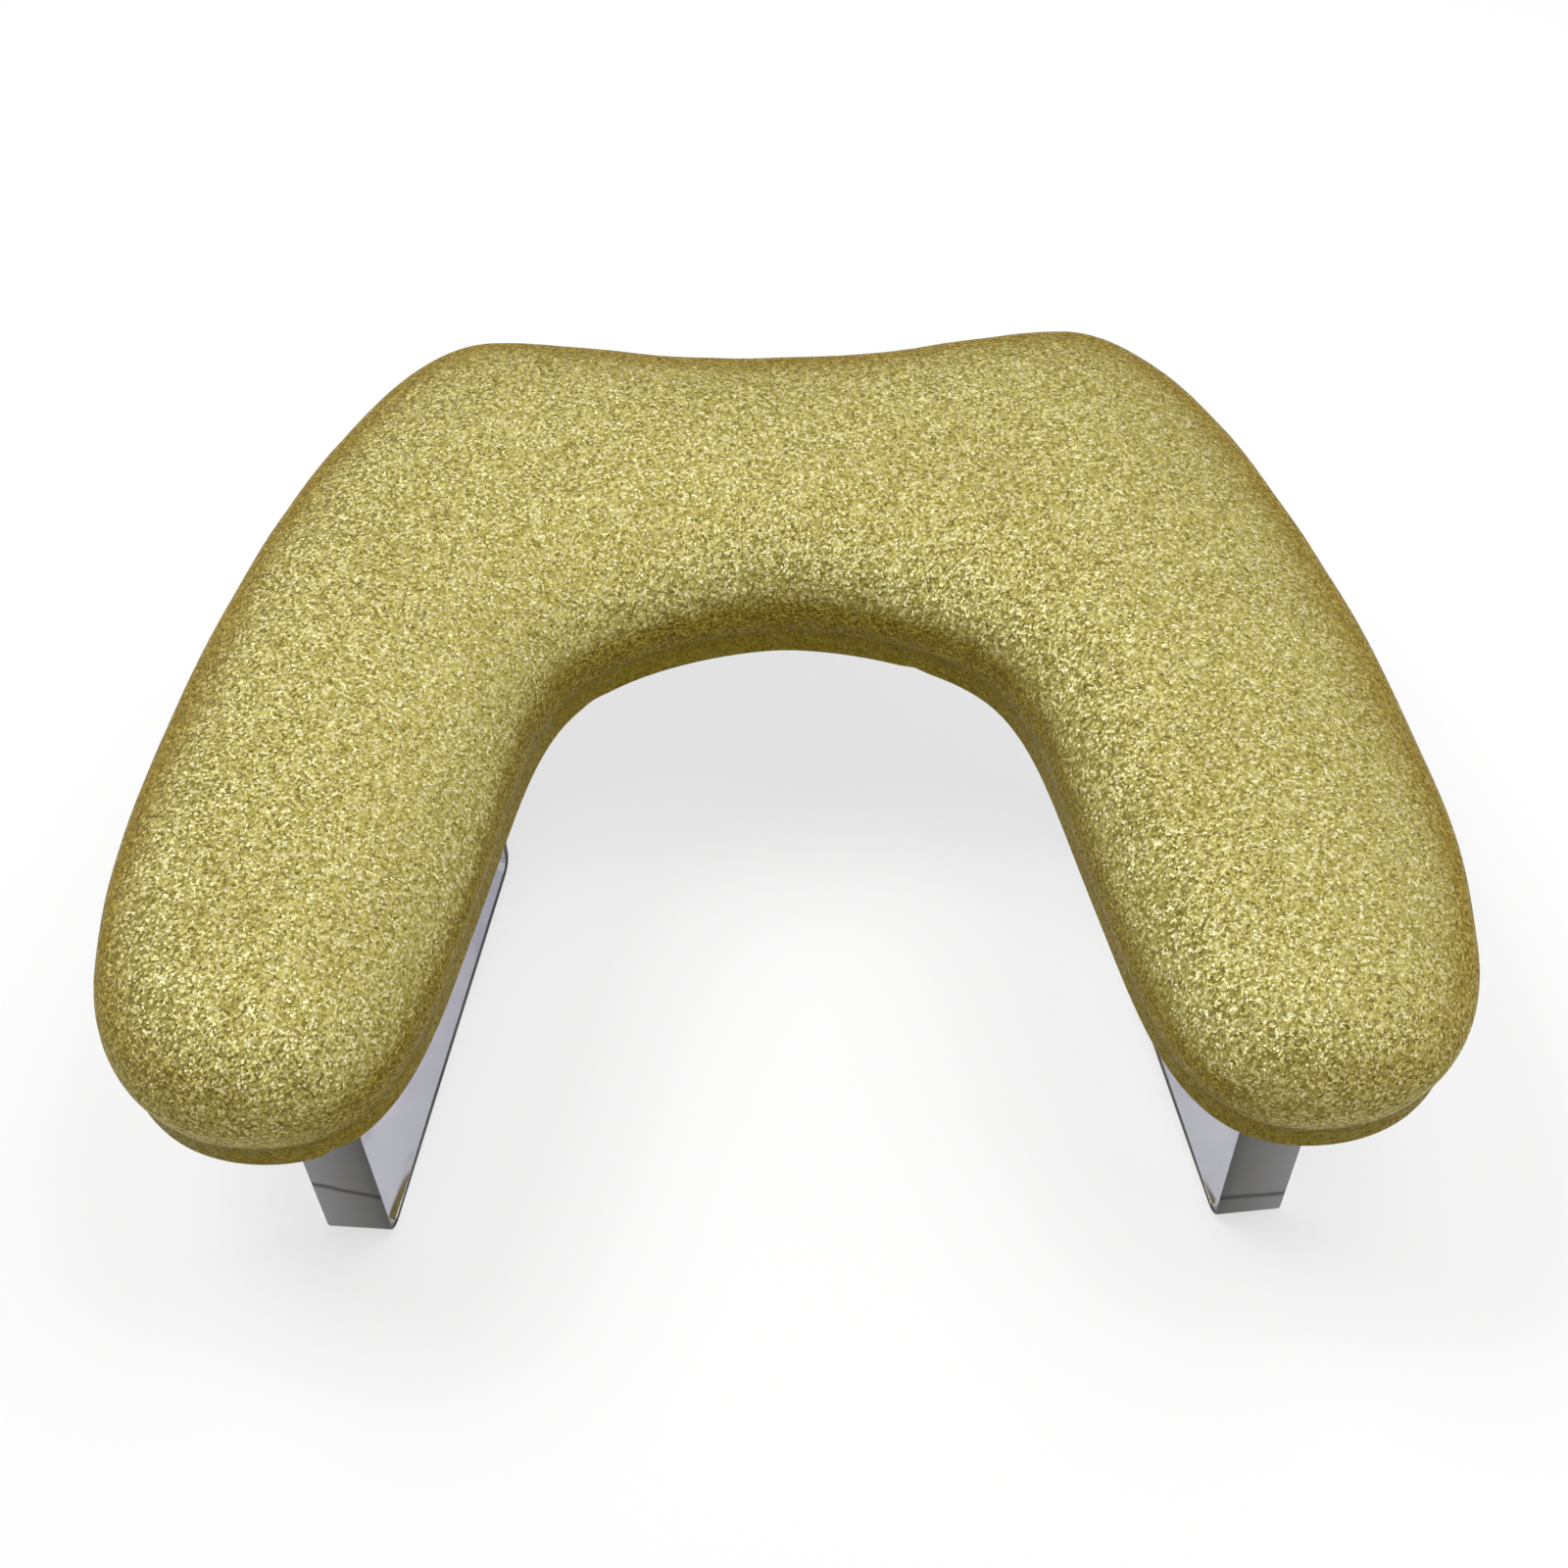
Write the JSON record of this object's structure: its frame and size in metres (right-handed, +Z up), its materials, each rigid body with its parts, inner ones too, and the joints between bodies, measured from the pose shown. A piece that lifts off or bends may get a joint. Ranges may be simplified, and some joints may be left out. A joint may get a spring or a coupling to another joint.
{
  "type": "manicure hand rest",
  "caption": "U-shaped padded hand rest with a crowned glitter-leather cushion on a wrapped board, carried by two polished strip-metal loop legs.",
  "frame": {"origin": "middle of the overall bounding box, on the table surface that the legs stand on", "axes": "+X to the sitter's right along the longest extent, +Y to the rear edge, +Z up"},
  "size_m": [0.4204, 0.3111, 0.1355],
  "materials": {
    "glitter_leather": "fine gold glitter faux leather, 1 mm flakes, satin clear top",
    "foam": "open-cell upholstery foam",
    "plywood": "raw plywood",
    "white_lining": "white non-woven dust cloth",
    "polished_strip": "polished bright metal strip",
    "zinc_steel": "zinc-plated steel fasteners"
  },
  "bodies": {
    "root": {"base_board": "plywood", "foam_pad": "foam", "leather_cover": "glitter_leather", "underside_lining": "white_lining", "left_leg": "polished_strip", "right_leg": "polished_strip", "screw_left_1": "zinc_steel", "screw_left_2": "zinc_steel", "screw_left_3": "zinc_steel", "screw_left_4": "zinc_steel", "screw_right_1": "zinc_steel", "screw_right_2": "zinc_steel", "screw_right_3": "zinc_steel", "screw_right_4": "zinc_steel", "insert_nut_left_1": "zinc_steel", "insert_nut_left_2": "zinc_steel", "insert_nut_left_3": "zinc_steel", "insert_nut_left_4": "zinc_steel", "insert_nut_right_1": "zinc_steel", "insert_nut_right_2": "zinc_steel", "insert_nut_right_3": "zinc_steel", "insert_nut_right_4": "zinc_steel", "staple_01": "zinc_steel", "staple_02": "zinc_steel", "staple_03": "zinc_steel", "staple_04": "zinc_steel", "staple_05": "zinc_steel", "staple_06": "zinc_steel", "staple_07": "zinc_steel", "staple_08": "zinc_steel", "staple_09": "zinc_steel", "staple_10": "zinc_steel", "staple_11": "zinc_steel", "staple_12": "zinc_steel", "staple_13": "zinc_steel", "staple_14": "zinc_steel", "staple_15": "zinc_steel", "staple_16": "zinc_steel", "staple_17": "zinc_steel", "staple_18": "zinc_steel", "staple_19": "zinc_steel", "staple_20": "zinc_steel"}
  },
  "joints": []
}
